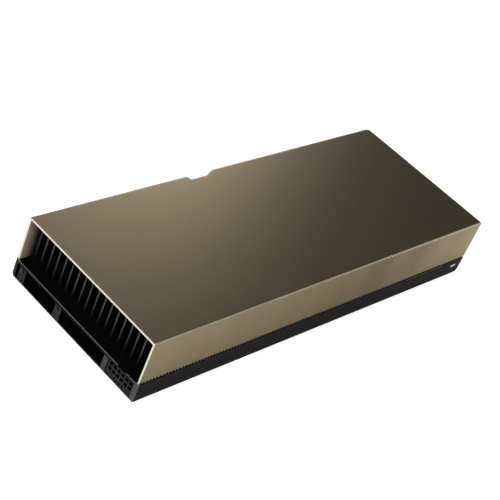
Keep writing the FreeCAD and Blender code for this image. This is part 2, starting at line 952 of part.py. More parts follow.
pieces = {
    "top_cover": make_top_cover,
    "base_frame": make_base_frame,
    "back_plate": make_back_plate,
    "bridge_cover": make_bridge_cover,
    "status_lens": make_status_lens,
    "circuit_board": make_circuit_board,
    "edge_contacts": make_edge_contacts,
    "bridge_contacts": make_bridge_contacts,
    "processor_substrate": make_processor_substrate,
    "package_ring": make_package_ring,
    "processor_die": make_processor_die,
    "memory_stacks": make_memory_stacks,
    "thermal_paste": make_thermal_paste,
    "vapour_chamber": make_vapour_chamber,
    "heatsink_base": make_heatsink_base,
    "fin_stack": make_fin_stack,
    "power_coils": make_power_coils,
    "coil_pads": make_coil_pads,
    "power_stages": make_power_stages,
    "input_capacitors": make_input_capacitors,
    "controller_chip": make_controller_chip,
    "firmware_chip": make_firmware_chip,
    "clock_crystal": make_clock_crystal,
    "power_header": make_power_header,
    "power_pins": make_power_pins,
    "signal_pins": make_signal_pins,
    "post_inserts": make_post_inserts,
    "back_plate_screws": make_back_plate_screws,
    "board_standoffs": make_board_standoffs,
    "heatsink_screws": make_heatsink_screws,
    "cover_screws": make_cover_screws,
}

os.makedirs("parts", exist_ok=True)
for name, make in pieces.items():
    shape = make()
    shape.exportStep("parts/" + name + ".step")
    print(name, "solids", len(shape.Solids), "valid", shape.isValid(), "volume", round(shape.Volume, 1))
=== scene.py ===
import math

import bmesh
import bpy
import numpy as np
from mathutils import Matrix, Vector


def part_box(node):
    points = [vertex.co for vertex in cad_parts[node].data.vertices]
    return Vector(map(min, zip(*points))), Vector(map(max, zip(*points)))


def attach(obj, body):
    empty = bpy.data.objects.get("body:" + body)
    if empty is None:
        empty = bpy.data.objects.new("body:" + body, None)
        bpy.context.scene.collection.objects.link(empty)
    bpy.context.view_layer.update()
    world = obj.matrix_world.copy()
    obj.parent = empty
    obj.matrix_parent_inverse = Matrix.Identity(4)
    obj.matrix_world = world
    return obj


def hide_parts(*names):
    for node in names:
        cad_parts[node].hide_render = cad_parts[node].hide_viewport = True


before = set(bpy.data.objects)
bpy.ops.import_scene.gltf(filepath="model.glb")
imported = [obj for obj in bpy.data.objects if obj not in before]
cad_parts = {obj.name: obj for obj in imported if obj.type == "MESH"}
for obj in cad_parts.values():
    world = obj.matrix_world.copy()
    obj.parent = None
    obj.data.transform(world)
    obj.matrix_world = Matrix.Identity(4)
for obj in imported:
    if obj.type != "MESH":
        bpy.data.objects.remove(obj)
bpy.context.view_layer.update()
MM = 0.001


# Back plate: flat steel sheet let in between the frame's long walls under the
# board, coated black, its sheared edges broken so that they shine a little.

plate_edge = 0.15 * MM
weld_distance = 0.001 * MM
sharp_corner = math.radians(28.0)
plate_colour = (0.016, 0.016, 0.017)
worn_colour = (0.05, 0.05, 0.052)


def put(material, kind, inputs=(), **settings):
    """Adds a shader node: settings are its own options, inputs are numbers, colours or links."""
    node = material.node_tree.nodes.new("ShaderNode" + kind)
    for name, value in settings.items():
        setattr(node, name, value)
    for name, value in dict(inputs).items():
        if isinstance(value, bpy.types.NodeSocket):
            material.node_tree.links.new(value, node.inputs[name])
        else:
            node.inputs[name].default_value = value
    return node


def lumps(material, per_metre, detail=2.0, stretch=(1.0, 1.0, 1.0)):
    """Noise from 0 to 1 in object space, with about so many lumps to a metre along each axis."""
    spot = put(material, "TexCoord").outputs["Object"]
    spot = put(material, "Mapping", {"Vector": spot, "Scale": stretch}).outputs["Vector"]
    values = {"Vector": spot, "Scale": per_metre, "Detail": detail}
    return put(material, "TexNoise", values).outputs["Fac"]


def between(material, source, low, high, start=0.3, end=0.7):
    """Carries a source that runs from start to end over to the span from low to high."""
    values = {"Value": source, "From Min": start, "From Max": end, "To Min": low, "To Max": high}
    return put(material, "MapRange", values).outputs["Result"]


def finish(name, colour, roughness, metallic=0.0, grain=2500.0, height=0.01 * MM, drift=0.1,
           gloss_drift=0.06, stretch=(1.0, 1.0, 1.0), specular=0.5):
    """A finish whose grain is a fine bump, and whose colour and gloss drift with broad lumps."""
    material = bpy.data.materials.new(name)
    material.use_nodes = True
    shader = material.node_tree.nodes["Principled BSDF"]
    shader.inputs["Metallic"].default_value = metallic
    shader.inputs["Specular IOR Level"].default_value = specular
    broad = lumps(material, 60.0, 3.0, stretch)
    fine = lumps(material, grain, 2.0, stretch)
    dark = [channel * (1.0 - drift) for channel in colour]
    pale = [channel * (1.0 + drift) for channel in colour]
    share = between(material, broad, 0.0, 1.0)
    mixed = put(material, "MixRGB", {"Fac": share, "Color1": (*dark, 1.0), "Color2": (*pale, 1.0)})
    rough = between(material, fine, roughness - gloss_drift, roughness + gloss_drift)
    bump = put(material, "Bump", {"Height": fine, "Distance": height})
    for socket, source in (
        ("Base Color", mixed.outputs["Color"]),
        ("Roughness", rough),
        ("Normal", bump.outputs["Normal"]),
    ):
        material.node_tree.links.new(source, shader.inputs[socket])
    return material


def fade_to(material, colour, *spans):
    """The colour turns into another one where all spans say so; a span is an axis, a start, an end."""
    shader = material.node_tree.nodes["Principled BSDF"]
    base = shader.inputs["Base Color"].links[0].from_socket
    spot = put(material, "TexCoord").outputs["Object"]
    spot = put(material, "SeparateXYZ", {"Vector": spot})
    share = 1.0
    for axis, start, end in spans:
        part = between(material, spot.outputs[axis], 0.0, 1.0, start, end)
        share = put(material, "Math", {0: part, 1: share}, operation="MULTIPLY").outputs[0]
    mixed = put(material, "MixRGB", {"Fac": share, "Color1": base, "Color2": (*colour, 1.0)})
    material.node_tree.links.new(mixed.outputs["Color"], shader.inputs["Base Color"])


def stand_in(piece, node):
    """A new piece takes its CAD node's place."""
    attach(piece, "root")
    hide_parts(node)


def rounded(node, edge, face_finish, edge_finish, steps=2, whole=True):
    """A CAD node's own shape, merged, with every sharp edge rounded in its own finish."""
    shape = bmesh.new()
    shape.from_mesh(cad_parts[node].data)
    bmesh.ops.remove_doubles(shape, verts=shape.verts, dist=weld_distance)
    bmesh.ops.recalc_face_normals(shape, faces=shape.faces)
    if whole:
        bmesh.ops.dissolve_limit(shape, angle_limit=0.01, verts=shape.verts, edges=shape.edges)
    mesh = bpy.data.meshes.new(node + "_shown")
    shape.to_mesh(mesh)
    shape.free()
    piece = bpy.data.objects.new(node + "_shown", mesh)
    bpy.context.scene.collection.objects.link(piece)
    mesh.materials.clear()
    mesh.materials.append(face_finish)
    mesh.materials.append(edge_finish)
    mesh.polygons.foreach_set("material_index", np.zeros(len(mesh.polygons), dtype=np.int32))
    mesh.shade_smooth()
    bevel = piece.modifiers.new("edge", "BEVEL")
    bevel.width = edge
    bevel.segments = steps
    bevel.limit_method = "ANGLE"
    bevel.angle_limit = sharp_corner
    bevel.material = 1
    normals = piece.modifiers.new("normals", "WEIGHTED_NORMAL")
    normals.keep_sharp = False
    stand_in(piece, node)
    return piece


plate_finish = finish("plate_coat", plate_colour, 0.5, grain=1800.0, height=0.004 * MM)
worn_black = finish("worn_black", worn_colour, 0.38, grain=900.0, drift=0.3, height=0.01 * MM)
rounded("back_plate", plate_edge, plate_finish, worn_black)


# Six-sided spacers between plate and board: turned and milled steel, zinc plated.

spacer_finish = finish("plated_steel", (0.42, 0.42, 0.43), 0.32, 1.0, stretch=(1.0, 1.0, 12.0))


def coat(node, material):
    """A CAD node keeps its shape and gets a finish."""
    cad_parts[node].data.materials.clear()
    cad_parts[node].data.materials.append(material)


coat("board_standoffs", spacer_finish)


# Circuit board: glass laminate under dark solder mask. Copper runs show as
# fine raised lines through the mask, and the slot tab is milled and chamfered.

mask_colour = (0.006, 0.012, 0.008)
run_colour = (0.01, 0.022, 0.013)
run_pitch = 0.9 * MM

board_finish = finish("solder_mask", mask_colour, 0.3, grain=1200.0, height=0.004 * MM)


def copper_runs(material, colour, raised):
    """Raised lines under the mask: a brick pattern in plan, its joints are the copper runs."""
    spot = put(material, "TexCoord").outputs["Object"]
    values = {
        "Vector": spot, "Scale": 1.0, "Mortar Size": run_pitch * 0.12, "Brick Width": run_pitch * 9.0,
        "Row Height": run_pitch, "Mortar Smooth": 0.3, "Bias": 0.0,
    }
    bricks = put(material, "TexBrick", values).outputs["Fac"]
    shader = material.node_tree.nodes["Principled BSDF"]
    base = shader.inputs["Base Color"].links[0].from_socket
    mixed = put(material, "MixRGB", {"Fac": bricks, "Color1": base, "Color2": (*colour, 1.0)})
    bump = put(material, "Bump", {"Height": bricks, "Distance": raised})
    material.node_tree.links.new(mixed.outputs["Color"], shader.inputs["Base Color"])
    material.node_tree.links.new(bump.outputs["Normal"], shader.inputs["Normal"])


copper_runs(board_finish, run_colour, 0.03 * MM)
coat("circuit_board", board_finish)


# Contacts of the slot tab and of the bridge connector: copper pads, plated
# with hard gold, with the fine scratches that a slot's springs leave.

gold_finish = finish("hard_gold", (0.83, 0.55, 0.2), 0.24, 1.0, grain=1500.0,
                     stretch=(6.0, 0.4, 1.0), height=0.004 * MM)
coat("edge_contacts", gold_finish)
coat("bridge_contacts", gold_finish)


# Processor package: green laminate, nickel-plated stiffening ring, bare
# polished die, six moulded memory stacks, and the grey paste on top of them.

coat("processor_substrate", finish("laminate", (0.02, 0.07, 0.03), 0.42, grain=1600.0))
coat("package_ring", finish("nickel", (0.5, 0.48, 0.44), 0.3, 1.0, stretch=(8.0, 1.0, 1.0)))
coat("processor_die", finish("silicon", (0.07, 0.075, 0.09), 0.12, 0.6, height=0.001 * MM))
chip_finish = finish("moulded_epoxy", (0.014, 0.014, 0.015), 0.55, grain=3200.0, height=0.02 * MM)
coat("memory_stacks", chip_finish)
coat("thermal_paste", finish("paste", (0.38, 0.38, 0.37), 0.6, grain=700.0, height=0.08 * MM))


# Supply parts on the board: moulded ferrite coils with soft pads on top,
# switching stages, tantalum capacitors, controller, memory chip and crystal.

coat("power_coils", finish("ferrite", (0.06, 0.06, 0.064), 0.5, grain=2200.0, height=0.04 * MM))
coat("coil_pads", finish("soft_pad", (0.3, 0.31, 0.34), 0.8, grain=1400.0, height=0.06 * MM))
coat("power_stages", chip_finish)
coat("input_capacitors", finish("tantalum_case", (0.42, 0.27, 0.09), 0.45, grain=2600.0))
coat("controller_chip", chip_finish)
coat("firmware_chip", chip_finish)
coat("clock_crystal", finish("crystal_can", (0.62, 0.62, 0.6), 0.25, 1.0, stretch=(1.0, 10.0, 1.0)))


# Heatsink: copper vapour chamber under a base sheet that carries upright
# fins, all blackened. The fins' punched edges show bare metal at both ends.

fin_edge = 0.25 * MM
fin_colour = (0.004, 0.004, 0.0045)
bare_fin_colour = (0.13, 0.133, 0.135)
fin_painted_shade = (25.0 * MM, 12.0 * MM)

coat("vapour_chamber", finish("copper", (0.62, 0.28, 0.16), 0.35, 1.0, stretch=(1.0, 9.0, 1.0)))
fin_finish = finish("black_fin", fin_colour, 0.45, grain=1500.0, stretch=(1.0, 1.0, 0.15), specular=0.1)
bare_edge = finish("bare_fin_edge", bare_fin_colour, 0.35, 0.5, grain=2500.0, drift=0.3)
# The bare edges are painted darker towards the fins' feet: painted shade deep in the duct.
fade_to(bare_edge, fin_colour, ("Z", *fin_painted_shade))
coat("heatsink_base", fin_finish)
rounded("fin_stack", fin_edge, fin_finish, bare_edge)


# Base frame: one black painted casting with the boxed inlet end. The paint
# has a fine texture and is rubbed smooth and a little paler along its outer
# edges. At the inlet end the face is painted lighter as painted light, with
# painted highlights on the rail's top and on the edges, a painted shadow
# under the rail, and painted shade inside.

frame_edge = 0.3 * MM
paint_colour = (0.0095, 0.0095, 0.0098)
painted_shade_inside_colour = (0.002, 0.002, 0.002)
front_painted_light_colour = (0.023, 0.024, 0.024)
near_front_painted_light_colour = (0.07, 0.071, 0.071)
rail_painted_highlight_colour = (0.075, 0.076, 0.076)
painted_shadow_colour = (0.005, 0.005, 0.0052)
painted_edge_highlight_colour = (0.5, 0.5, 0.503)

worn_frame_colour = (0.022, 0.022, 0.0225)
painted_light_reach = 30.0 * MM
skin_start = 0.3 * MM
skin_end = 0.7 * MM
rail_foot = (9.2 * MM, 9.6 * MM)
rail_front_top = (10.9 * MM, 10.5 * MM)
rail_top = (10.7 * MM, 10.9 * MM)
rail_end_start = 2.5 * MM
rail_end = 3.0 * MM

inlet_end, near_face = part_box("base_frame")[0][:2]
far_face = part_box("base_frame")[1][1]
front_span = ("X", inlet_end + 0.1 * MM, inlet_end + 0.5 * MM)
edge_highlight_span = ("X", inlet_end + 0.35 * MM, inlet_end + 0.8 * MM)
inside_spans = (
    ("Y", near_face + skin_start, near_face + skin_end),
    ("Y", far_face - skin_start, far_face - skin_end),
    ("Z", skin_start, skin_end),
)
rail_painted_shadow = (
    ("Z", *rail_front_top), ("Z", *rail_foot),
    ("Y", near_face + rail_end_start, near_face + rail_end),
    ("Y", far_face - rail_end_start, far_face - rail_end),
)
# The inlet face is painted lighter, most towards the near side: painted light. A painted highlight runs
# along the rail's top, with a painted shadow band under it.
cast_finish = finish("textured_paint", front_painted_light_colour, 0.55, grain=2600.0, height=0.025 * MM,
                     drift=0.15, specular=0.03)
fade_to(cast_finish, near_front_painted_light_colour, ("Y", far_face - painted_light_reach, near_face))
fade_to(cast_finish, rail_painted_highlight_colour, ("Z", *rail_top))
fade_to(cast_finish, painted_shadow_colour, *rail_painted_shadow)
fade_to(cast_finish, paint_colour, front_span)
# Surfaces inside the casting, behind the inlet face, are painted near-black: painted shade.
fade_to(cast_finish, painted_shade_inside_colour, front_span, *inside_spans)
# Edges at the inlet end are painted near-white as a painted highlight; further in they are a little paler
# from wear, and inside the casting they get painted shade.
worn_and_highlit_edge = finish("worn_paint_and_painted_highlight", painted_edge_highlight_colour, 0.4, grain=1200.0, drift=0.3, specular=0.2)
fade_to(worn_and_highlit_edge, worn_frame_colour, edge_highlight_span)
fade_to(worn_and_highlit_edge, painted_shade_inside_colour, edge_highlight_span, *inside_spans)
rounded("base_frame", frame_edge, cast_finish, worn_and_highlit_edge, 3)


# Threaded inserts of the two posts: turned steel, pressed in, with the
# thread's ridges inside the bore and a small chamfer at the mouth.

insert_finish = finish("turned_steel", (0.07, 0.07, 0.072), 0.3, 1.0, stretch=(20.0, 1.0, 1.0))
insert_low, insert_high = (np.array(corner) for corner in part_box("post_inserts"))
insert_radius = (insert_high[2] - insert_low[2]) / 2.0
insert_length = insert_high[0] - insert_low[0]
bore_radius = 1.25 * MM
thread_pitch = 0.5 * MM
thread_depth = 0.13 * MM
mouth = 0.2 * MM


def quads(rows, columns, ring=False):
    """Faces of a grid whose columns close on themselves; with ring its rows do so too."""
    index = np.arange(rows * columns).reshape(rows, columns)
    index = np.concatenate([index, index[:, :1]], axis=1)
    if ring:
        index = np.concatenate([index, index[:1]], axis=0)
    corners = (index[:-1, :-1], index[:-1, 1:], index[1:, 1:], index[1:, :-1])
    return np.stack(corners, axis=-1).reshape(-1, 4)


def turned(profile, start, along, around=40, lobes=None, ring=False):
    """A profile of distance and radius carried round an axis: radius * (1 + lobe * cos 6a)."""
    angle = np.linspace(0.0, 2.0 * np.pi, around, endpoint=False)
    along = np.array(along, dtype=float)
    across = np.array([0.0, 0.0, 1.0]) if abs(along[2]) < 0.5 else np.array([1.0, 0.0, 0.0])
    third = np.cross(along, across)
    lobe = np.zeros(len(profile)) if lobes is None else np.array(lobes)
    reach = profile[:, 1, None] * (1.0 + lobe[:, None] * np.cos(6.0 * angle))
    points = (
        np.array(start)
        + profile[:, 0, None, None] * along
        + (reach * np.cos(angle))[..., None] * across
        + (reach * np.sin(angle))[..., None] * third
    )
    faces = quads(len(profile), around, ring).tolist()
    if not ring:
        faces.append(list(range(around))[::-1])
        faces.append([(len(profile) - 1) * around + side for side in range(around)])
    return points.reshape(-1, 3), faces


def made(name, parts, *finishes, which=None):
    """One mesh of several closed parts, smooth over all but its sharp edges."""
    points = np.concatenate([part[0] for part in parts])
    starts = np.cumsum([0] + [len(part[0]) for part in parts])
    faces = [
        [int(start) + corner for corner in face] for start, part in zip(starts, parts) for face in part[1]
    ]
    mesh = bpy.data.meshes.new(name)
    mesh.from_pydata(points.tolist(), [], faces)
    for material in finishes:
        mesh.materials.append(material)
    if which is not None:
        mesh.polygons.foreach_set("material_index", np.array(which, dtype=np.int32))
    shape = bmesh.new()
    shape.from_mesh(mesh)
    bmesh.ops.recalc_face_normals(shape, faces=shape.faces)
    for line in shape.edges:
        line.smooth = line.calc_face_angle(0.0) < math.radians(32.0)
    for face in shape.faces:
        face.smooth = True
    shape.to_mesh(mesh)
    shape.free()
    piece = bpy.data.objects.new(name, mesh)
    bpy.context.scene.collection.objects.link(piece)
    return piece


def insert_profile():
    """Outside straight, both mouths chamfered, bore a zigzag one thread pitch long."""
    turns = np.arange(mouth, insert_length - mouth, thread_pitch / 2.0)
    zigzag = bore_radius + thread_depth * (np.arange(len(turns)) % 2)
    outer = np.array([
        (0.0, insert_radius - mouth / 2.0), (mouth, insert_radius),
        (insert_length - mouth, insert_radius), (insert_length, insert_radius - mouth / 2.0),
    ])
    inner = np.stack([turns, zigzag], axis=1)[::-1]
    return np.concatenate([outer, inner, [(0.0, bore_radius + mouth / 2.0)]])


insert_parts = [
    turned(insert_profile(), (insert_low[0], middle, insert_low[2] + insert_radius), (1, 0, 0), ring=True)
    for middle in (insert_low[1] + insert_radius, insert_high[1] - insert_radius)
]
stand_in(made("inserts_shown", insert_parts, insert_finish), "post_inserts")


# Power header: moulded nylon in the bay under the deck, twelve power
# cavities over four small ones, with straight tinned pins pressed through.

header_trim = 0.07 * MM
power_pin_trim = 0.1 * MM
signal_pin_trim = 0.06 * MM
cavity_painted_shade_colour = (0.002, 0.002, 0.002)
cavity_shade_from = 0.3 * MM
cavity_shade_to = 1.0 * MM

header_finish = finish("header_nylon", (0.014, 0.0145, 0.015), 0.42, grain=1900.0, height=0.02 * MM,
                       specular=0.1)
# Its edges are pale grey: a painted highlight along the moulding's edges.
header_edge_highlight = finish("header_edge_highlight", (0.08, 0.081, 0.082), 0.35, grain=1900.0, specular=0.1)
pin_finish = finish("tin", (0.62, 0.6, 0.56), 0.3, 1.0, grain=1500.0, stretch=(1.0, 6.0, 6.0))
header_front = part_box("power_header")[0][0]
# Behind the front the nylon is painted near-black: painted shade in the cavities.
for nylon in (header_finish, header_edge_highlight):
    cavity_shade_span = ("X", header_front + cavity_shade_from, header_front + cavity_shade_to)
    fade_to(nylon, cavity_painted_shade_colour, cavity_shade_span)
rounded("power_header", header_trim, header_finish, header_edge_highlight, whole=False)
rounded("power_pins", power_pin_trim, pin_finish, pin_finish)
rounded("signal_pins", signal_pin_trim, pin_finish, pin_finish)


# Status lens: a milky moulded light guide, seated in the near wall.

lens_edge = 0.2 * MM

lens_finish = finish("milky_guide", (0.5, 0.5, 0.48), 0.22, grain=800.0, drift=0.04)
rounded("status_lens", lens_edge, lens_finish, lens_finish, 3)


# Bridge cap: plain moulded black cap, snapped into its recess in the near
# wall, where it closes the bridge connector.

cap_trim = 0.15 * MM

cap_finish = finish("cap_moulding", (0.02, 0.02, 0.021), 0.45, grain=2200.0, height=0.03 * MM)
cap_edge = finish("cap_edge", (0.03, 0.03, 0.031), 0.35, grain=2200.0)
rounded("bridge_cover", cap_trim, cap_finish, cap_edge)


# Screws: flat heads with a six-lobed drive, blackened steel. Plate screws go
# up into the frame's bosses, four hold the heatsink, five hold the cover.

screw_sides = 36

screw_finish = finish("black_oxide", (0.03, 0.03, 0.031), 0.4, grain=1800.0, drift=0.2)


def screw_profile(length):
    """Distance and radius from the drive's floor over the head's rim to the shank's tip."""
    return np.array([
        (0.75, 0.35), (0.7, 0.62), (0.12, 0.72), (0.02, 0.8), (0.0, 1.0), (0.0, 1.8), (0.06, 1.88),
        (0.2, 1.86), (0.9, 1.0), (length / MM - 0.3, 1.0), (length / MM, 0.75),
    ]) * MM


drive_lobes = (0.1, 0.14, 0.14, 0.1, 0.0, 0.0, 0.0, 0.0, 0.0, 0.0, 0.0)


def screw_heads(node, axis):
    """Head centre of each screw of a node: one loose solid is one screw, its lowest face is the head."""
    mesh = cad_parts[node].data
    shape = bmesh.new()
    shape.from_mesh(mesh)
    bmesh.ops.remove_doubles(shape, verts=shape.verts, dist=weld_distance)
    shape.verts.ensure_lookup_table()
    left = set(shape.verts)
    heads = []
    while left:
        front = [left.pop()]
        solid = []
        while front:
            corner = front.pop()
            solid.append(corner.co[:])
            near = [line.other_vert(corner) for line in corner.link_edges]
            fresh = [other for other in near if other in left]
            left.difference_update(fresh)
            front.extend(fresh)
        solid = np.array(solid)
        reach = solid @ np.array(axis, dtype=float)
        face = solid[reach < reach.min() + 0.01 * MM]
        heads.append((tuple(face.min(axis=0) / 2.0 + face.max(axis=0) / 2.0), float(np.ptp(reach))))
    shape.free()
    return heads


for node, axis in (
    ("back_plate_screws", (0, 0, 1)), ("heatsink_screws", (0, 0, 1)), ("cover_screws", (0, -1, 0)),
):
    parts = [
        turned(screw_profile(length), head, axis, screw_sides, drive_lobes)
        for head, length in screw_heads(node, axis)
    ]
    stand_in(made(node + "_shown", parts, screw_finish), node)


# Top cover: one folded aluminium sheet, bronze anodised after its flutes were
# pressed. Its cut ends are machined bright; inner tabs drop into the frame.

cover_low, cover_high = (np.array(corner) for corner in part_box("top_cover"))
frame_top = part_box("base_frame")[1][2]
sheet = 1.5 * MM
top_sheet = 1.3 * MM
tab_sheet = 1.2 * MM
fold_radius = 1.1 * MM
flute_pitch = 2.18 * MM
flute_depth = 1.1 * MM
flute_samples = 8
corner_samples = 8
top_shares = (0.006, 0.25, 0.5, 0.75, 0.994)
cover_reveal = 0.45 * MM
wall_rows = 4
fold_rows = 6
end_corner = 2.2 * MM
end_bevel = 0.2 * MM
board_key_from_end = 57.15 * MM
notch_from_key = 103.05 * MM
notch_corners = np.array([0.0, 1.4, 13.8, 20.3]) * MM
notch_depth = 3.0 * MM
gold_colour = (0.25, 0.197, 0.122)
flute_painted_shade_colour = (0.215, 0.17, 0.107)
fold_highlight_colour = (0.255, 0.215, 0.16)


def along_cover():
    """Stations along the cover: even samples of each flute, the notch's corners, the end bevels."""
    length = cover_high[0] - cover_low[0]
    count = int(length / flute_pitch) * flute_samples
    even = np.linspace(0.0, length, count + 1)
    corner = length - end_corner * (1.0 - np.sin(np.linspace(0.0, np.pi / 2.0, corner_samples)))
    notch = length - board_key_from_end - notch_from_key + notch_corners
    stations = np.concatenate([even, corner, notch, [end_bevel, length - end_bevel]])
    return np.unique(np.round(stations, 7))


def contact_side_inset(x):
    """How far the contact side lies inside the outline: the latch notch and one rounded corner."""
    length = cover_high[0] - cover_low[0]
    past = np.clip(x - (length - end_corner), 0.0, end_corner)
    rounding = end_corner - np.sqrt(end_corner ** 2 - past ** 2)
    start = length - board_key_from_end - notch_from_key
    depth = (0.0, notch_depth, notch_depth, 0.0)
    return rounding + np.interp(x, start + notch_corners, depth)


def cover_points():
    """Outer and inner skins on one grid. A station's outline goes up the near side, round the fold,
    over the top and down the far side. Flutes are depth * cos(pi x / pitch)^2, running out round
    the fold with the square of the turn still to go. The inner skin is plain: straight sides one
    sheet in, under a flat top. The outer skin ends a little above the frame, so that the joint
    shows as a dark line."""
    x = along_cover()[:, None]
    length = cover_high[0] - cover_low[0]
    width = cover_high[1] - cover_low[1]
    height = cover_high[2] - frame_top
    climb = np.linspace(0.0, 1.0, wall_rows) * (height - fold_radius)
    turn = np.linspace(0.0, np.pi / 2.0, fold_rows + 1)[1:]
    rise = np.concatenate([climb, height - fold_radius * (1.0 - np.sin(turn))])
    draw = np.concatenate([np.zeros(wall_rows), fold_radius * (1.0 - np.cos(turn))])
    shown = np.concatenate([np.ones(wall_rows), (1.0 - turn / (np.pi / 2.0)) ** 2])
    groove = flute_depth * np.cos(np.pi * (x - length / 2.0) / flute_pitch) ** 2
    middle = np.array(top_shares)
    far_line = width - contact_side_inset(x)
    near = draw + groove * shown
    far = (far_line - draw - groove * shown)[:, ::-1]
    across = near[:, -1:] + (far[:, :1] - near[:, -1:]) * middle
    outer_y = np.concatenate([near, across, far], axis=1)
    up = np.concatenate([rise, np.full(len(middle), height), rise[::-1]])
    wall_near = sheet + 0.0 * x
    wall_far = far_line - sheet
    flat = np.ones((1, len(rise)))
    inner_across = wall_near + (wall_far - wall_near) * middle
    inner_y = np.concatenate([wall_near * flat, inner_across, wall_far * flat], axis=1)
    inner_up = np.minimum(up, height - top_sheet)
    outer_up = np.maximum(up, cover_reveal)
    outer = np.stack([x + 0.0 * outer_y, outer_y, outer_up + 0.0 * outer_y], axis=-1)
    inner = np.stack([x + 0.0 * inner_y, inner_y, inner_up + 0.0 * inner_y], axis=-1)
    for end in (0, -1):
        gap = inner[end] - outer[end]
        reach = np.maximum(np.linalg.norm(gap, axis=1, keepdims=True), end_bevel)
        outer[end], inner[end] = outer[end] + gap / reach * end_bevel, inner[end] - gap / reach * end_bevel
    corner = np.array([cover_low[0], cover_low[1], frame_top])
    return outer + corner, inner + corner


def cover_mesh():
    """Both skins, the lips along the lower edges and the two cut ends, as one closed surface."""
    outer, inner = cover_points()
    stations, count = outer.shape[:2]
    points = np.concatenate([outer, inner[:, ::-1]], axis=1)
    faces = quads(stations, 2 * count)
    near_row = np.arange(count)
    back_row = 2 * count - 1 - near_row
    cap = np.stack([near_row[:-1], near_row[1:], back_row[1:], back_row[:-1]], axis=-1)
    last = (stations - 1) * 2 * count
    faces = np.concatenate([faces, cap, cap[:, ::-1] + last])
    column = np.arange(len(faces)) % (2 * count)
    row = np.arange(len(faces)) // (2 * count)
    which = np.zeros(len(faces), dtype=np.int32)
    rows = wall_rows + fold_rows
    side = (column < rows - 1) | ((column >= count - rows) & (column < count))
    which[side] = 1
    near_fold = (column >= wall_rows) & (column < rows - 1)
    far_fold = (column >= count - rows) & (column < count - wall_rows - 1)
    which[near_fold | far_fold] = 4
    which[column >= count] = 3
    which[(row == 0) | (row >= stations - 2)] = 2
    return points.reshape(-1, 3), faces.tolist(), which


def block(low, high):
    """A plain box between two corners."""
    spans = list(zip(low, high))
    spots = np.array([[x, y, z] for x in spans[0] for y in spans[1] for z in spans[2]])
    faces = [[0, 1, 3, 2], [4, 6, 7, 5], [0, 4, 5, 1], [2, 3, 7, 6], [0, 2, 6, 4], [1, 5, 7, 3]]
    return spots, faces


top_finish = finish("bronze_top", gold_colour, 0.3, 1.0, grain=5200.0, height=0.003 * MM, drift=0.02,
                    gloss_drift=0.03)
# The fluted sides are a darker copy of the top's bronze: painted shade.
side_finish = finish("bronze_flutes", flute_painted_shade_colour, 0.36, 1.0, grain=900.0, height=0.002 * MM, drift=0.02,
                     gloss_drift=0.03, stretch=(1.0, 1.0, 0.02))
# The folds are paler than the top: a painted highlight along both folds.
fold_highlight_finish = finish("painted_fold_highlight", fold_highlight_colour, 0.3, 1.0, grain=5200.0, height=0.003 * MM, drift=0.05)
cut_finish = finish("bright_cut", (0.9, 0.86, 0.78), 0.2, 1.0, grain=4200.0, height=0.003 * MM, drift=0.03)

# Inside, the bronze is painted near-black from just behind the cut end inwards: painted shade.
inside_mouth = (1.0 * MM, 7.6 * MM)
cover_inside_painted_shade = (0.012, 0.012, 0.012)
inner_finish = finish("matt_inside", (0.36, 0.29, 0.19), 0.6, 0.2, grain=2600.0, height=0.01 * MM)
inside_span = ("X", *(cover_low[0] + depth for depth in inside_mouth))
fade_to(inner_finish, cover_inside_painted_shade, inside_span)

tab_height = 9.2 * MM
tab_half = 6.0 * MM
tab_overlap = 0.02 * MM
tab_places = [34.0 * MM, 91.0 * MM, 142.0 * MM, 190.0 * MM]
last_far_tab = 236.0 * MM
tab_span = (cover_low[2], cover_low[2] + tab_height)
tab_near = (cover_low[1] + sheet - tab_overlap, cover_low[1] + sheet + tab_sheet)
tab_far = (cover_high[1] - sheet - tab_sheet, cover_high[1] - sheet + tab_overlap)
skin_points, skin_faces, skin_which = cover_mesh()
cover_parts = [(skin_points, skin_faces)]
for y, places in ((tab_near, tab_places), (tab_far, tab_places + [last_far_tab])):
    for place in places:
        middle = cover_low[0] + place
        low = (middle - tab_half, y[0], tab_span[0])
        high = (middle + tab_half, y[1], tab_span[1])
        cover_parts.append(block(low, high))
which = np.concatenate([skin_which, np.zeros(6 * (len(cover_parts) - 1), dtype=np.int32)])
cover = made("cover_shown", cover_parts, top_finish, side_finish, cut_finish, inner_finish, fold_highlight_finish,
             which=which)
weights = cover.modifiers.new("normals", "WEIGHTED_NORMAL")
weights.keep_sharp = True
stand_in(cover, "top_cover")


# Studio: a pale floor, an even sky that only lights, and a soft box that the
# cover mirrors. Two strips, lower than its top, light the near fold and leave
# the top alone. The camera stands where the photograph was taken from.

floor_reach = 6.0
sky_level = 0.5
ceiling_level = 0.0535
ceiling_aside = 0.4
floor_glow = 0.5
far_end_painted_glow = (0.0, 1.8, 0.035, 0.17)
inlet_painted_glow = (0.5, 0.0, -0.13, 0.0)
painted_glow_edge = (-0.045, 0.0)
foot_painted_shade = (0.1, 1.25, -0.058, -0.1)
box_direction = (41.7, 25.4)
box_distance = 4.0
box_size = 0.85
box_power = 11.0
key_place = (-1.6, -2.4, 2.6)
key_size = 1.8
key_power = 55.0
pool_place = (-0.5, -0.05, 0.45)
pool_size = 0.2
pool_power = 1.75
glint_places = ((0.12, -0.3, 0.018), (0.5, -0.33, 0.018))
glint_size = 0.15
glint_tall = 0.034
glint_slant = 0.25
glint_powers = (0.078, 0.105)
rim_place = (1.9, -1.5, 1.5)
rim_size = 0.8
rim_power = 0.5
camera_place = (-0.543898, -0.337815, 0.444836)
camera_forward = (0.7020688, 0.43854407, -0.56105125)
camera_up = (0.22270688, 0.61313356, 0.75793725)
camera_lens = 100.32978


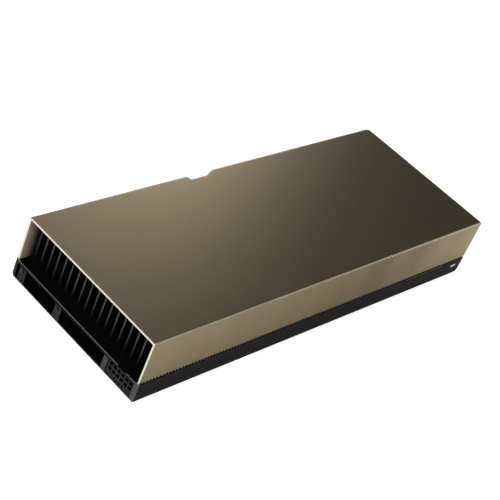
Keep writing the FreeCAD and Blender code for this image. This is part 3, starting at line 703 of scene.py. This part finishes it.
floor_mesh = bpy.data.meshes.new("floor")
corners = [(-floor_reach, -floor_reach, 0.0), (floor_reach, -floor_reach, 0.0),
           (floor_reach, floor_reach, 0.0), (-floor_reach, floor_reach, 0.0)]
floor_mesh.from_pydata(corners, [], [(0, 1, 2, 3)])
floor = bpy.data.objects.new("floor", floor_mesh)
bpy.context.scene.collection.objects.link(floor)
# To the camera the floor glows evenly white. In reflections it glows in painted patches of light beside
# the far end and the inlet, in front of the near side, and is painted darker near the card's foot: painted
# shade.
floor_finish = finish("pale_floor", (0.8, 0.8, 0.8), 0.9, grain=400.0, drift=0.01, specular=0.0)
path = put(floor_finish, "LightPath")
mirrored = put(
    floor_finish, "Math", {0: path.outputs["Is Glossy Ray"], 1: path.outputs["Is Transmission Ray"]})
spot = put(floor_finish, "TexCoord").outputs["Object"]
spot = put(floor_finish, "SeparateXYZ", {"Vector": spot}).outputs
glow_patches = [between(floor_finish, spot["X"], *card) for card in (far_end_painted_glow, inlet_painted_glow)]
glow_patches = put(floor_finish, "Math", {0: glow_patches[0], 1: glow_patches[1]})
beside = between(floor_finish, spot["Y"], 1.0, 0.0, *painted_glow_edge)
foot = between(floor_finish, spot["Y"], *foot_painted_shade)
beside = put(floor_finish, "Math", {0: beside, 1: foot}, operation="MULTIPLY").outputs[0]
glow_patches = put(floor_finish, "Math", {0: glow_patches.outputs[0], 1: beside}, operation="MULTIPLY")
mirrored = put(
    floor_finish, "Math", {0: mirrored.outputs[0], 1: glow_patches.outputs[0]}, operation="MULTIPLY")
glow = put(
    floor_finish, "Math", {0: path.outputs["Is Camera Ray"], 1: floor_glow, 2: mirrored.outputs[0]},
    operation="MULTIPLY_ADD")
floor_shader = floor_finish.node_tree.nodes["Principled BSDF"]
floor_shader.inputs["Emission Color"].default_value = (1.0, 1.0, 1.0, 1.0)
floor_finish.node_tree.links.new(glow.outputs[0], floor_shader.inputs["Emission Strength"])
floor_mesh.materials.append(floor_finish)

world = bpy.data.worlds.new("studio")
bpy.context.scene.world = world
world.use_nodes = True
path = put(world, "LightPath")
spot = put(world, "TexCoord").outputs["Generated"]
spot = put(world, "SeparateXYZ", {"Vector": spot}).outputs
ceiling = put(world, "Math", {
    0: between(world, spot["Y"], 1.0, ceiling_level, -0.05, 0.3),
    1: between(world, spot["X"], 0.0, ceiling_aside, 0.35, -0.1),
}, operation="MAXIMUM").outputs[0]
glossy = put(world, "Math", {0: path.outputs["Is Glossy Ray"], 1: path.outputs["Is Transmission Ray"]})
lit = put(world, "MixRGB", {
    "Fac": glossy.outputs[0], "Color1": (sky_level,) * 3 + (1.0,), "Color2": ceiling})
shown = put(world, "MixRGB", {
    "Fac": path.outputs["Is Camera Ray"], "Color1": lit.outputs["Color"], "Color2": (1.0, 1.0, 1.0, 1.0)})
world.node_tree.links.new(shown.outputs["Color"], world.node_tree.nodes["Background"].inputs["Color"])


def lamp(name, place, size, power, aim=(0.0, 0.0, 0.02), tall=None):
    """A soft box that faces a point and that no camera sees, square unless its height is given."""
    light = bpy.data.lights.new(name, "AREA")
    light.size = size
    if tall:
        light.shape = "RECTANGLE"
        light.size_y = tall
    light.energy = power
    stand = bpy.data.objects.new(name, light)
    stand.location = place
    toward = Vector(aim) - Vector(place)
    stand.rotation_euler = toward.to_track_quat("-Z", "Y").to_euler()
    stand.visible_camera = False
    bpy.context.scene.collection.objects.link(stand)
    return stand


turn, lift = (math.radians(angle) for angle in box_direction)
box_place = [
    box_distance * math.cos(lift) * math.cos(turn),
    box_distance * math.cos(lift) * math.sin(turn),
    box_distance * math.sin(lift),
]
lamp("mirrored_box", box_place, box_size, box_power)
lamp("key", key_place, key_size, key_power).visible_glossy = False
lamp("rim", rim_place, rim_size, rim_power)
lamp("pool", pool_place, pool_size, pool_power, (-0.18, 0.0, 0.0)).visible_glossy = False
for place, power in zip(glint_places, glint_powers):
    aim = (place[0] - glint_slant, 0.0, place[2])
    lamp("glint", place, glint_size, power, aim, glint_tall).visible_diffuse = False

eye = bpy.data.cameras.new("camera")
eye.lens = camera_lens
eye.sensor_width = 36.0
eye.clip_start = 0.01
camera = bpy.data.objects.new("camera", eye)
bpy.context.scene.collection.objects.link(camera)
forward = Vector(camera_forward).normalized()
right = forward.cross(Vector(camera_up)).normalized()
up = right.cross(forward)
camera.matrix_world = Matrix((
    (right.x, up.x, -forward.x, camera_place[0]),
    (right.y, up.y, -forward.y, camera_place[1]),
    (right.z, up.z, -forward.z, camera_place[2]),
    (0.0, 0.0, 0.0, 1.0),
))
bpy.context.scene.camera = camera
bpy.context.scene.view_settings.view_transform = "Standard"
